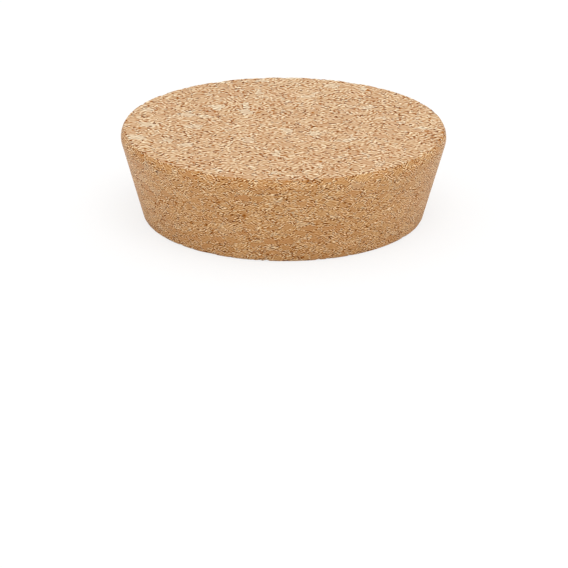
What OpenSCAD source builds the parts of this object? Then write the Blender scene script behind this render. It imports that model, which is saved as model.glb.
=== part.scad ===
// Tapered stopper of pressed cork granules, in millimetres.
// It is one solid piece, round about the Z axis. The base stands on z = 0 and the wide end is up.

/* [Body] */
// Widest diameter, on the rounded edge just below the top face
widest_d = 90; // [82:0.5:130]
// Diameter of the base, measured to where the side would meet it at a sharp corner
base_d = 78; // [50:0.5:80]
// Height from the base to the top face
height = 25; // [12:0.5:60]

/* [Edges] */
// Radius of the rounded edge round the top face
top_edge_r = 3.8; // [2.4:0.1:6]
// Depth of the widest line below the top face; the edge still meets the face at a crease
widest_drop = 2.3; // [0.5:0.1:2.3]
// Radius of the small edge round the base
base_edge_r = 0.8; // [0.2:0.1:2]

/* [Quality] */
// Segments in a full circle
circle_segments = 180; // [60:12:360]

/* [Hidden] */
$fn = circle_segments;

widest_r = widest_d / 2;
base_r = base_d / 2;

// Centre of the top edge's arc, in the half-section's plane of radius and height
top_arc = [widest_r - top_edge_r, height - widest_drop];

// The side is the line from the base's corner that just touches the top edge's arc.
// side_tilt is how far it leans out from upright, and side_normal points out of the cork.
corner_to_arc = top_arc - [base_r, 0];
side_tilt = acos(-top_edge_r / norm(corner_to_arc)) - atan2(corner_to_arc.y, corner_to_arc.x);
side_normal = [cos(side_tilt), -sin(side_tilt)];

// Centre of the small arc at the base, which touches both the base and the side
base_arc = [base_r - base_edge_r * (1 - sin(side_tilt)) / cos(side_tilt), base_edge_r];

// How far the side's line is sunk into both arcs, so that they run into it with no sliver
overlap = 0.001;

// Half-section: straight tapered side, with an arc at each edge, cut off level with the top face
module half_section() {
    intersection() {
        union() {
            polygon([
                [0, 0],
                [base_arc.x, 0],
                base_arc + (base_edge_r - overlap) * side_normal,
                top_arc + (top_edge_r - overlap) * side_normal,
                [top_arc.x, height],
                [0, height]
            ]);
            translate(top_arc)
                circle(r = top_edge_r);
            translate(base_arc)
                circle(r = base_edge_r);
        }
        square([widest_d, height]);
    }
}

module cork_stopper() {
    color("burlywood")
        rotate_extrude()
            half_section();
}

cork_stopper();
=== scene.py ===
import math
import random

import bmesh
import bpy
from mathutils import Matrix, Vector, kdtree, noise


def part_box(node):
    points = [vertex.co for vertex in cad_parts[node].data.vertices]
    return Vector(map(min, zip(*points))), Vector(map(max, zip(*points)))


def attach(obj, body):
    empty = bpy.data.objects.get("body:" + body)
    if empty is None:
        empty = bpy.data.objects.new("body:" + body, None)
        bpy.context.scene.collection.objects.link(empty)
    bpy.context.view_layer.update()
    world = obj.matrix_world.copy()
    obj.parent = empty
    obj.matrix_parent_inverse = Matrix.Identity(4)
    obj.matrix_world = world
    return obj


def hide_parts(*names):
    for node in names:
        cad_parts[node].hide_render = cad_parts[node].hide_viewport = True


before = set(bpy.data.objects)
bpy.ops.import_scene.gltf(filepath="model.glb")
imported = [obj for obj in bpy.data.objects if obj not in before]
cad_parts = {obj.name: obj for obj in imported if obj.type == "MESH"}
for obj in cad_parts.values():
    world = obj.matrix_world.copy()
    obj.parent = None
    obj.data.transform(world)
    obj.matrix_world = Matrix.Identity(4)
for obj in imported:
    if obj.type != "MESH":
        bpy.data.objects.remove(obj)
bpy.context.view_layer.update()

# ---------------------------------------------------------------- sizes, in metres
MM = 0.001
low_corner, high_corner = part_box("cork_stopper")
HEIGHT = high_corner.z - low_corner.z
WIDEST_RADIUS = (high_corner.x - low_corner.x) / 2
BASE_RADIUS = 39 * MM           # to where the side would meet the base at a sharp corner
TOP_EDGE_RADIUS = 3.8 * MM
WIDEST_DROP = 2.3 * MM          # from the top face down to the widest line
BASE_EDGE_RADIUS = 0.8 * MM


def linear(hex_colour):
    """An sRGB hex colour as the linear colour that Blender works in, wholly opaque."""
    parts = [int(hex_colour[i:i + 2], 16) / 255 for i in (1, 3, 5)]
    lifted = [c / 12.92 if c <= 0.04045 else ((c + 0.055) / 1.055) ** 2.4 for c in parts]
    return (*lifted, 1.0)


def add(tree, kind, feeds=None, **settings):
    """Adds one node with its settings, and feeds its inputs.

    A feed is a node, for its first output, or a socket, or else a plain value. A Mix node's inputs are 0 for
    the share, 2 and 3 for two numbers, 4 and 5 for two vectors, and 6 and 7 for two colours. Its output is
    0 for a number, 1 for a vector and 2 for a colour.
    """
    node = tree.nodes.new(kind)
    for name, value in settings.items():
        setattr(node, name, value)
    for inlet, feed in (feeds or {}).items():
        if isinstance(feed, bpy.types.Node):
            feed = feed.outputs[0]
        if isinstance(feed, bpy.types.NodeSocket):
            tree.links.new(feed, node.inputs[inlet])
        else:
            node.inputs[inlet].default_value = feed
    return node


def cleared_tree(owner):
    """The node tree of a new material or world, with nothing in it yet."""
    owner.use_nodes = True
    owner.node_tree.nodes.clear()
    return owner.node_tree


def put_in_scene(name, data):
    """A new object at the origin, unturned, with this mesh, camera or lamp."""
    made = bpy.data.objects.new(name, data)
    bpy.context.scene.collection.objects.link(made)
    return made


# ---------------------------------------------------------------- the turned block
CAP_CELLS = 160                 # squares across the top and the base, so four times as many round the rim
SIDE_RINGS = 46
TOP_EDGE_RINGS = 8
BASE_EDGE_RINGS = 3
CREASE = math.radians(35)       # an edge that bends more than this, as the top's rim does, looks crisp
GRID_CENTRE = 1e-9              # how near 0 both of a grid point's places are when it is the middle one
WELD = 0.02 * MM                # points as near as this are one


def arc(centre, radius, start, end, rings):
    """Points along an arc in the plane of radius and height, from one angle to another."""
    angles = [start + (end - start) * i / rings for i in range(rings + 1)]
    return [centre + radius * Vector((math.cos(a), math.sin(a))) for a in angles]


def half_section():
    """The outline from the top face's crease down to the flat base, as radius and height."""
    top_arc = Vector((WIDEST_RADIUS - TOP_EDGE_RADIUS, HEIGHT - WIDEST_DROP))
    crease_angle = math.asin(WIDEST_DROP / TOP_EDGE_RADIUS)
    to_arc = top_arc - Vector((BASE_RADIUS, 0))
    lean = math.acos(-TOP_EDGE_RADIUS / to_arc.length) - math.atan2(to_arc.y, to_arc.x)
    base_inset = BASE_EDGE_RADIUS * (1 - math.sin(lean)) / math.cos(lean)
    base_arc = Vector((BASE_RADIUS - base_inset, BASE_EDGE_RADIUS))
    upper = arc(top_arc, TOP_EDGE_RADIUS, crease_angle, -lean, TOP_EDGE_RINGS)
    lower = arc(base_arc, BASE_EDGE_RADIUS, -lean, -math.pi / 2, BASE_EDGE_RINGS)
    side = [upper[-1].lerp(lower[0], i / SIDE_RINGS) for i in range(1, SIDE_RINGS)]
    return upper + side + lower


def cap(bm, radius, height):
    """A flat disc of even squares: a square grid whose square rings are drawn out to circles."""
    made = bmesh.ops.create_grid(bm, x_segments=CAP_CELLS, y_segments=CAP_CELLS, size=1.0)
    for v in made["verts"]:
        across, along = v.co.x, v.co.y
        if abs(across) < GRID_CENTRE and abs(along) < GRID_CENTRE:
            reach, turn = 0.0, 0.0
        elif abs(across) >= abs(along):
            reach, turn = across, math.pi / 4 * along / across
        else:
            reach, turn = along, math.pi / 2 - math.pi / 4 * across / along
        v.co = (radius * reach * math.cos(turn), radius * reach * math.sin(turn), height)


def solid_of_revolution(bm, climb):
    """The whole skin, with each vertex's way up the outline, in millimetres, kept in the layer climb."""
    outline = half_section()
    way = sum((b - a).length for a, b in zip(outline, outline[1:])) / MM
    cap(bm, outline[0].x, HEIGHT)
    for v in bm.verts:
        v[climb] = way
    rim = [e for e in bm.edges if e.is_boundary]
    for above, point in zip(outline, outline[1:]):
        way -= (point - above).length / MM
        made = bmesh.ops.extrude_edge_only(bm, edges=rim)["geom"]
        rim = [g for g in made if isinstance(g, bmesh.types.BMEdge)]
        for v in {v for e in rim for v in e.verts}:
            spread = point.x / math.hypot(v.co.x, v.co.y)
            v.co = (v.co.x * spread, v.co.y * spread, point.y)
            v[climb] = way
    cap(bm, outline[-1].x, 0.0)
    bmesh.ops.remove_doubles(bm, verts=bm.verts, dist=WELD)
    bmesh.ops.recalc_face_normals(bm, faces=bm.faces)
    for f in bm.faces:
        f.smooth = True
    for e in bm.edges:
        e.smooth = e.calc_face_angle() < CREASE


# The skin's two maps, in millimetres
ROLL_RADIUS = 42.0              # the side's middling radius, round which its skin is rolled out
FACE_GAP = 200.0                # between the places of the top, the base and the side on the map of the skin
SHEET = 176.0                   # across the square sheet that the baked colours go on
TOP_CORNER = (46.0, 46.0)       # where the middle of the top lies on the sheet
BASE_CORNER = (132.0, 40.0)     # and the middle of the base
FRONT_STRIP = (2.0, 94.0)       # where the strip for one half of the side starts on the sheet
BACK_STRIP = (2.0, 126.0)       # and the strip for the other half
ON_FACE = 1e-7                  # in metres, how near the height of the top or base counts as on it


def roll_out(bm, climb):
    """Two UV maps: skin_mm, the skin laid out flat in millimetres, and OFBake, the same in one square."""
    skin = bm.loops.layers.uv.new("skin_mm")
    sheet = bm.loops.layers.uv.new("OFBake")
    for f in bm.faces:
        lowest = min(v.co.z for v in f.verts)
        highest = max(v.co.z for v in f.verts)
        middle = f.calc_center_median()
        turn = math.atan2(middle.x, -middle.y)
        for loop in f.loops:
            spot = loop.vert.co / MM
            if lowest > HEIGHT - ON_FACE:
                on_skin = (spot.x, spot.y)
                on_sheet = (spot.x + TOP_CORNER[0], spot.y + TOP_CORNER[1])
            elif highest < ON_FACE:
                on_skin = (spot.x + FACE_GAP, spot.y)
                on_sheet = (spot.x + BASE_CORNER[0], spot.y + BASE_CORNER[1])
            else:
                own = math.atan2(spot.x, -spot.y)
                own += round((turn - own) / math.tau) * math.tau
                on_skin = (own * ROLL_RADIUS, loop.vert[climb] + FACE_GAP)
                strip = FRONT_STRIP if turn > 0 else BACK_STRIP
                start = 0.0 if turn > 0 else -math.pi
                on_sheet = ((own - start) * ROLL_RADIUS + strip[0], loop.vert[climb] + strip[1])
            loop[skin].uv = on_skin
            loop[sheet].uv = (on_sheet[0] / SHEET, on_sheet[1] / SHEET)


# Pores, nicks and swell, in millimetres
PORES = 170
PORE_REACH = (0.55, 0.85)       # from a pore's middle to its lip, in the smallest and the widest
PORE_DEPTH = (0.15, 0.4)
# how dark the middle of a pit is painted, as painted shade
PORE_PAINTED_SHADE = 1.0
RIM_NICKS = 90                  # where a chip has come off the edge of the top
BASE_NICKS = 60                 # and off the edge of the base
NICK_REACH = (0.5, 1.3)
NICK_DEPTH = (0.06, 0.2)
# how dark the middle of a nick is painted, as painted shade, at least and at most
NICK_PAINTED_SHADE = (0.0, 0.6)
SWELL = 0.03                    # how far the sanded skin dips at most
SWELL_SIZE = 1.4                # from one dip to the next
SEED = 11


def open_pores(bm):
    """Sinks real pores and nicks into the skin, and keeps for each vertex how much painted shade it gets."""
    pit_shade = bm.verts.layers.float.new("pit_shade")
    bm.verts.ensure_lookup_table()
    bm.normal_update()
    normals = [v.normal.copy() for v in bm.verts]
    places = [v.co.copy() for v in bm.verts]
    near = kdtree.KDTree(len(places))
    for i, place in enumerate(places):
        near.insert(place, i)
    near.balance()
    chance = random.Random(SEED)

    def sink(middle, reach, depth, painted_shade):
        """One smooth pit, deepest in its middle, and painted darkest there as painted shade."""
        for _, i, distance in near.find_range(middle, reach * MM):
            share = (1 - (distance / (reach * MM)) ** 2) ** 2
            bm.verts[i].co -= normals[i] * depth * MM * share
            bm.verts[i][pit_shade] = max(bm.verts[i][pit_shade], share * painted_shade)

    for v, place, normal in zip(bm.verts, places, normals):
        dip = (1 + noise.noise(place / (SWELL_SIZE * MM))) / 2
        v.co -= normal * dip * SWELL * MM
    for _ in range(PORES):
        sink(chance.choice(places), chance.uniform(*PORE_REACH), chance.uniform(*PORE_DEPTH), PORE_PAINTED_SHADE)
    # nicks lie on the top's rim and on the base's rounded edge
    outline = half_section()
    for count, corner in ((RIM_NICKS, outline[0]), (BASE_NICKS, outline[-2])):
        for _ in range(count):
            turn = chance.uniform(0, math.tau)
            middle = Vector((corner.x * math.cos(turn), corner.x * math.sin(turn), corner.y))
            reach = chance.uniform(*NICK_REACH)
            sink(middle, reach, chance.uniform(*NICK_DEPTH), chance.uniform(*NICK_PAINTED_SHADE))


def settle_order(bm):
    """Puts edges and faces in the order of their corners, because extruding stores them in any order."""
    bm.verts.index_update()
    for parts in (bm.edges, bm.faces):
        ordered = sorted(parts, key=lambda part: sorted(v.index for v in part.verts))
        for i, part in enumerate(ordered):
            part.index = i
        parts.sort()


def turned_block():
    """The stopper's skin, with its pores, in one closed piece."""
    bm = bmesh.new()
    climb = bm.verts.layers.float.new("climb")
    solid_of_revolution(bm, climb)
    roll_out(bm, climb)
    open_pores(bm)
    settle_order(bm)
    mesh = bpy.data.meshes.new("cork_stopper_dressed")
    bm.to_mesh(mesh)
    bm.free()
    return put_in_scene("cork_granules", mesh)


# ---------------------------------------------------------------- pressed cork
# Sizes are in millimetres. The chips inside a real granule are 0.1 to 0.5 mm thick, too fine to show: a
# pixel of the render is 0.3 mm wide, and on the top, seen from low down, it takes in 0.8 mm from front to
# back. So chips are drawn about twice as thick as they are on the side, and four times on the flat faces.
MID = 0.5                       # the middle of each noise and each chance, which run from 0 to 1
GRANULE = 3.6                   # across one of the glued granules of bark
PRESSED = 2.1                   # how many times flatter the granules lie along the axis
SWIRL = 2.4                     # from one bend to the next in the granules' outlines and in their chips
SWIRL_DETAIL = 1.0              # one finer set of bends on top of the first
SWIRL_ROUGH = 0.6               # and how strong it is beside the first
WANDER = 2.0                    # how far the granules' outlines bend, from side to side
GRAIN_BEND = 1.0                # how far the chips bend
FLAT_ENOUGH = 0.8               # how upright the skin's normal is on the flat faces, and isn't on the side
SIDE_CHIP = (1.05, 0.42)        # from one chip to the next, along the side and up it
FACE_CHIP = (1.4, 1.15)         # the same on the flat faces, along X and along Y
CHIPS_ALIKE = 1.3               # how many chips lie side by side before they lie another way
CHIPS_FLAT = 0.3                # from 0, where chips lie every way, to 1, where all lie along the layers
CHIPS_ACROSS = math.pi / 2      # which way chips follow each other, so that they lie along the layers
SIDE_SWING = 0.9                # radians, the most that two granules' chips differ in their lie on the side
FACE_SWING = 1.0                # and on the flat faces
CALM_EDGE = (0.15, 1.0)         # how far in from a granule's edge its chips start to fade, and stop fading
CALM_LEAST = 0.05               # how strongly chips show in the middle of the calmest granule
CALM_MOST = 0.6                 # and of the liveliest one
PALE_FROM = (0.93, 0.95)        # chances between which a granule turns pale, as about one in 16 does
PALE_CALM = 0.05                # how much more faintly the chips of a pale granule show
RED_FROM = 0.5                  # half the granules have some redder bark in them
GAP = (0.05, 0.25)              # in from a granule's edge, an open seam's full depth and its end
TEAR = 1.1                      # from one torn part of a seam to the next
TORN = (0.45, 0.55)             # how high the noise is where a seam begins to open and where it is wide open

# The shade runs from 0 for the darkest pore to 1 for the palest chip, and TONES gives its colour
PLAIN_SHADE = 0.5
SIDE_SHOW = 3.0                 # how strongly chips show on the side
FACE_SHOW = 2.4                 # and on the flat faces
CHIP_LIFT = 0.035               # how much paler the chips are, taken together, than plain cork
SHOW_TINT = 0.08                # between the darkest and the palest granule
SHOW_GAP = 0.2                  # how much darker an open seam is
SHOW_PIT_SHADE = 0.3                 # how much darker the painted shade of the pits and nicks makes them
TONES = ((0.0, "#4a1a00"), (0.22, "#844300"), (0.37, "#a76b27"), (0.5, "#bc8d5c"), (0.65, "#cda36d"),
         (0.82, "#e1bc8c"), (1.0, "#f8e0b8"))
RED_BARK = "#b4642a"
REDDEST = 0.1                   # how much of that red the reddest granule has
# the colour that pale granules turn to, and the colour of the painted sheen on the flat faces
PALE_AND_SHEEN_COLOUR = "#eee8ce"
SHEEN_SHADE = (0.35, 0.85)       # painted sheen on the flat faces lies on shades above the first, and most strongly from the second up
FACE_SHEEN = 0.36                     # how much of the painted sheen's colour shows there
PALE_DUST = 0.09                # how much of that colour a pale granule has everywhere, as its own paler tone
PALE_FACE_SHEEN = 0.16           # and how much more it has on the flat faces, as painted sheen
OPEN_SHADE, OPEN_ROUGH = 0.3, 1.0           # the shade and the roughness of open pores and seams
SANDED_SHADE, SANDED_ROUGH = 0.46, 0.42     # and of skin that sanding has closed
CORK_IOR = 1.3                  # below solid bark's 1.5, because a cut skin of open cells has less gloss
GAP_DEPTH = 0.08                # how deep an open seam is
CHIP_HEIGHT = 0.02              # how far pale chips stand up from dark ones
RELIEF = 0.3                    # how much of these fine heights the light picks out


def granules(tree, place):
    """The glued granules: how far in from the edge a point is, its granule's chances, and a gentle bend."""
    swirl = add(tree, "ShaderNodeTexNoise", {"Vector": place, "Scale": 1 / SWIRL, "Detail": SWIRL_DETAIL,
                                             "Roughness": SWIRL_ROUGH})
    bend = add(tree, "ShaderNodeVectorMath", {0: swirl.outputs["Color"], 1: (MID, MID, MID)},
               operation="SUBTRACT")
    bent = add(tree, "ShaderNodeVectorMath", {0: bend, 1: (WANDER, WANDER, WANDER), 2: place},
               operation="MULTIPLY_ADD")
    pressed = add(tree, "ShaderNodeVectorMath", {0: bent, 1: (1.0, 1.0, PRESSED)}, operation="MULTIPLY")
    cells = add(tree, "ShaderNodeTexVoronoi", {"Vector": pressed, "Scale": 1 / GRANULE})
    edges = add(tree, "ShaderNodeTexVoronoi", {"Vector": pressed, "Scale": 1 / GRANULE},
                feature="DISTANCE_TO_EDGE")
    inset = add(tree, "ShaderNodeMath", {0: edges.outputs["Distance"], 1: GRANULE}, operation="MULTIPLY")
    chances = add(tree, "ShaderNodeSeparateXYZ", {0: cells.outputs["Color"]})
    return inset, chances.outputs, bend


def on_flat_face(tree):
    """1 on the flat top and base, 0 on the turned side."""
    facing = add(tree, "ShaderNodeNewGeometry")
    upright = add(tree, "ShaderNodeSeparateXYZ", {0: facing.outputs["True Normal"]})
    level = add(tree, "ShaderNodeMath", {0: upright.outputs["Z"]}, operation="ABSOLUTE")
    return add(tree, "ShaderNodeMath", {0: level, 1: FLAT_ENOUGH}, operation="GREATER_THAN")


def chips(tree, skin, flat_face, bend, own_way):
    """Chips of bark laid side by side, above 0 where pale and below 0 where dark."""
    # the chips of each granule lean their own way, up to half the swing to either hand
    swing = add(tree, "ShaderNodeMix", {0: flat_face, 2: SIDE_SWING, 3: FACE_SWING}, data_type="FLOAT")
    off_level = add(tree, "ShaderNodeMath", {0: own_way, 1: MID}, operation="SUBTRACT")
    angle = add(tree, "ShaderNodeMath", {0: off_level, 1: swing}, operation="MULTIPLY")
    curved = add(tree, "ShaderNodeVectorMath", {0: bend, 1: (GRAIN_BEND, GRAIN_BEND, 0.0), 2: skin},
                 operation="MULTIPLY_ADD")
    turned = add(tree, "ShaderNodeVectorRotate", {"Vector": curved, "Angle": angle}, rotation_type="Z_AXIS")
    side = (1 / (SIDE_CHIP[0] * CHIPS_ALIKE), 1 / (SIDE_CHIP[1] * CHIPS_ALIKE), 0.0)
    face = (1 / (FACE_CHIP[0] * CHIPS_ALIKE), 1 / (FACE_CHIP[1] * CHIPS_ALIKE), 0.0)
    squeeze = add(tree, "ShaderNodeMix", {0: flat_face, 4: side, 5: face}, data_type="VECTOR")
    laid = add(tree, "ShaderNodeVectorMath", {0: turned, 1: squeeze.outputs[1]}, operation="MULTIPLY")
    bands = add(tree, "ShaderNodeTexGabor", {"Vector": laid, "Scale": 1.0, "Frequency": CHIPS_ALIKE,
                                             "Anisotropy": CHIPS_FLAT, "Orientation": CHIPS_ACROSS},
                gabor_type="2D")
    light_or_dark = add(tree, "ShaderNodeMath", {0: bands.outputs["Value"], 1: MID}, operation="SUBTRACT")
    show = add(tree, "ShaderNodeMix", {0: flat_face, 2: SIDE_SHOW, 3: FACE_SHOW}, data_type="FLOAT")
    return add(tree, "ShaderNodeMath", {0: light_or_dark, 1: show, 2: CHIP_LIFT}, operation="MULTIPLY_ADD")


def cork_shade(tree, place, skin, flat_face):
    """How dark or light the cork is at each point, its relief, and how pale and how red its granule is."""
    inset, (tint_chance, bark_chance, pale_chance), bend = granules(tree, place)
    pale = add(tree, "ShaderNodeMapRange", {"Value": pale_chance, "From Min": PALE_FROM[0],
                                            "From Max": PALE_FROM[1]})
    redness = add(tree, "ShaderNodeMapRange", {"Value": bark_chance, "From Min": RED_FROM})
    middle = add(tree, "ShaderNodeMapRange", {"Value": tint_chance, "To Min": CALM_LEAST,
                                              "To Max": CALM_MOST})
    calm_middle = add(tree, "ShaderNodeMath", {0: pale, 1: -PALE_CALM, 2: middle}, operation="MULTIPLY_ADD")
    lively = add(tree, "ShaderNodeMapRange",
                 {"Value": inset, "From Min": CALM_EDGE[0], "From Max": CALM_EDGE[1],
                  "To Min": 1.0, "To Max": calm_middle}, interpolation_type="SMOOTHSTEP")
    chip = chips(tree, skin, flat_face, bend, bark_chance)
    fine = add(tree, "ShaderNodeMath", {0: chip, 1: lively}, operation="MULTIPLY")

    seam = add(tree, "ShaderNodeMapRange", {"Value": inset, "From Min": GAP[0], "From Max": GAP[1],
                                            "To Min": 1.0, "To Max": 0.0})
    tearing = add(tree, "ShaderNodeTexNoise", {"Vector": place, "Scale": 1 / TEAR, "Detail": 0.0})
    torn = add(tree, "ShaderNodeMapRange", {"Value": tearing, "From Min": TORN[0], "From Max": TORN[1]})
    gap = add(tree, "ShaderNodeMath", {0: seam, 1: torn}, operation="MULTIPLY")

    tint = add(tree, "ShaderNodeMath", {0: tint_chance, 1: MID}, operation="SUBTRACT")
    # the painted shade of the pits and nicks, kept on the skin's points
    pit_shade = add(tree, "ShaderNodeAttribute", attribute_name="pit_shade").outputs["Fac"]
    shade = PLAIN_SHADE
    for what, share in ((fine, 1.0), (tint, SHOW_TINT), (gap, -SHOW_GAP), (pit_shade, -SHOW_PIT_SHADE)):
        shade = add(tree, "ShaderNodeMath", {0: what, 1: share, 2: shade}, operation="MULTIPLY_ADD")
    relief = 0.0
    for what, height in ((gap, -GAP_DEPTH), (fine, CHIP_HEIGHT)):
        relief = add(tree, "ShaderNodeMath", {0: what, 1: height, 2: relief}, operation="MULTIPLY_ADD")
    return shade, relief, pale, redness


def pressed_cork():
    """Agglomerated cork: granules of bark glued and pressed into a block, which is turned and sanded.

    It looks matt and warm brown, flecked with short dark and pale chips that lie along the pressed layers,
    with a few pale flat granules and dark torn seams. Its pits and nicks are darkened by painted shade, and
    its flat faces are made paler by a painted sheen.
    """
    material = bpy.data.materials.new("pressed_cork_granules_sanded")
    tree = cleared_tree(material)
    coordinates = add(tree, "ShaderNodeTexCoord")
    place = add(tree, "ShaderNodeVectorMath", {0: coordinates.outputs["Object"], "Scale": 1 / MM},
                operation="SCALE")
    skin = add(tree, "ShaderNodeUVMap", uv_map="skin_mm")
    flat_face = on_flat_face(tree)
    shade, relief, pale, redness = cork_shade(tree, place, skin, flat_face)
    ramp = add(tree, "ShaderNodeValToRGB", {0: shade})
    elements = ramp.color_ramp.elements
    for position, _ in TONES[1:-1]:
        elements.new(position)
    for element, (_, tone) in zip(elements, TONES):
        element.color = linear(tone)
    red = add(tree, "ShaderNodeMath", {0: redness, 1: REDDEST}, operation="MULTIPLY")
    bark = add(tree, "ShaderNodeMix", {0: red, 6: ramp, 7: linear(RED_BARK)}, data_type="RGBA")
    # painted sheen: the flat faces are painted paler except where their shade is dark, and pale granules
    # turn paler everywhere
    painted_sheen = add(tree, "ShaderNodeMapRange", {"Value": shade, "From Min": SHEEN_SHADE[0],
                                              "From Max": SHEEN_SHADE[1], "To Max": FACE_SHEEN})
    sheen_and_paler = add(tree, "ShaderNodeMath", {0: pale, 1: PALE_FACE_SHEEN, 2: painted_sheen}, operation="MULTIPLY_ADD")
    face_sheen_and_paler = add(tree, "ShaderNodeMath", {0: sheen_and_paler, 1: flat_face}, operation="MULTIPLY")
    pale_and_sheen = add(tree, "ShaderNodeMath", {0: pale, 1: PALE_DUST, 2: face_sheen_and_paler}, operation="MULTIPLY_ADD")
    colour = add(tree, "ShaderNodeMix", {0: pale_and_sheen, 6: bark.outputs[2], 7: linear(PALE_AND_SHEEN_COLOUR)},
                 data_type="RGBA")
    # sanded cork shines faintly at a low angle, and its open pores don't
    rough = add(tree, "ShaderNodeMapRange",
                {"Value": shade, "From Min": OPEN_SHADE, "From Max": SANDED_SHADE,
                 "To Min": OPEN_ROUGH, "To Max": SANDED_ROUGH})
    bump = add(tree, "ShaderNodeBump", {"Height": relief, "Distance": MM, "Strength": RELIEF})
    shader = add(tree, "ShaderNodeBsdfPrincipled", {"Base Color": colour.outputs[2], "IOR": CORK_IOR,
                                                    "Roughness": rough, "Normal": bump})
    add(tree, "ShaderNodeOutputMaterial", {"Surface": shader})
    return material


# ---------------------------------------------------------------- the studio
LENS, SENSOR = 173.0, 36.0      # in millimetres
CLIP = (0.05, 20.0)             # in metres, the nearest and the farthest that the camera sees
CAMERA_REACH = 760 * MM         # from the middle of the stopper
CAMERA_RISE = math.radians(19.55)
CAMERA_ROLL = math.radians(0.242)
AIM = Vector((0.29 * MM, 0.0, -22.1 * MM))      # below the stopper, which stands high in the frame


def camera():
    data = bpy.data.cameras.new("camera")
    data.lens = LENS
    data.sensor_width = SENSOR
    data.clip_start, data.clip_end = CLIP
    cam = put_in_scene("camera", data)
    middle = Vector((0, 0, HEIGHT / 2))
    cam.location = middle + CAMERA_REACH * Vector((0, -math.cos(CAMERA_RISE), math.sin(CAMERA_RISE)))
    level = (AIM - cam.location).to_track_quat("-Z", "Y").to_matrix()
    cam.rotation_euler = (level @ Matrix.Rotation(CAMERA_ROLL, 3, "Z")).to_euler()
    bpy.context.scene.camera = cam


WHITE = "#ffffff"
LOW_SKY, HIGH_SKY = 0.66, 1.30  # how strongly the room lights things from the horizon and from overhead
PAPER = "#f3f3f3"
PAPER_GLOW = 0.75               # how far the camera sees the floor as plain white, and the rest as lit paper
FLOOR_REACH = 6.0               # in metres, from the stopper to the floor's edge
LAMP_WATTS = 4.5
LAMP_SIZE = 1.0                 # in metres across
LAMP_PLACE = Vector((0.2, -0.5, 1.4))


def room():
    """A white room, brighter overhead, that looks plain white in the background and in reflections."""
    world = bpy.data.worlds.new("white_room")
    bpy.context.scene.world = world
    tree = cleared_tree(world)
    path = add(tree, "ShaderNodeLightPath")
    seen = add(tree, "ShaderNodeMath", {0: path.outputs["Is Camera Ray"], 1: path.outputs["Is Glossy Ray"]},
               operation="MAXIMUM")
    where = add(tree, "ShaderNodeTexCoord")
    way = add(tree, "ShaderNodeSeparateXYZ", {0: where.outputs["Generated"]})
    soft = add(tree, "ShaderNodeMapRange", {"Value": way.outputs["Z"], "To Min": LOW_SKY,
                                            "To Max": HIGH_SKY})
    strength = add(tree, "ShaderNodeMix", {0: seen, 2: soft, 3: 1.0}, data_type="FLOAT")
    sky = add(tree, "ShaderNodeBackground", {"Color": linear(WHITE), "Strength": strength})
    add(tree, "ShaderNodeOutputWorld", {"Surface": sky})


def white_paper():
    """Uncoated white paper: matt and plain white, with the soft shadow of what stands on it."""
    paper = bpy.data.materials.new("white_paper")
    tree = cleared_tree(paper)
    path = add(tree, "ShaderNodeLightPath")
    matt = add(tree, "ShaderNodeBsdfDiffuse", {"Color": linear(PAPER)})
    glow = add(tree, "ShaderNodeEmission", {"Color": linear(WHITE), "Strength": 1.0})
    share = add(tree, "ShaderNodeMath", {0: path.outputs["Is Camera Ray"], 1: PAPER_GLOW},
                operation="MULTIPLY")
    mix = add(tree, "ShaderNodeMixShader", {0: share, 1: matt, 2: glow})
    add(tree, "ShaderNodeOutputMaterial", {"Surface": mix})
    return paper


def paper_floor():
    bm = bmesh.new()
    bmesh.ops.create_grid(bm, x_segments=1, y_segments=1, size=FLOOR_REACH)
    mesh = bpy.data.meshes.new("floor")
    bm.to_mesh(mesh)
    bm.free()
    mesh.materials.append(white_paper())
    put_in_scene("floor", mesh)


def softbox():
    lamp = bpy.data.lights.new("softbox", "AREA")
    lamp.shape = "DISK"
    lamp.size = LAMP_SIZE
    lamp.energy = LAMP_WATTS
    box = put_in_scene("softbox", lamp)
    box.location = LAMP_PLACE
    box.rotation_euler = (-LAMP_PLACE).to_track_quat("-Z", "Y").to_euler()


bpy.context.scene.view_settings.view_transform = "Standard"
camera()
room()
paper_floor()
softbox()
stopper = turned_block()
stopper.data.materials.append(pressed_cork())
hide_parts("cork_stopper")
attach(stopper, "root")
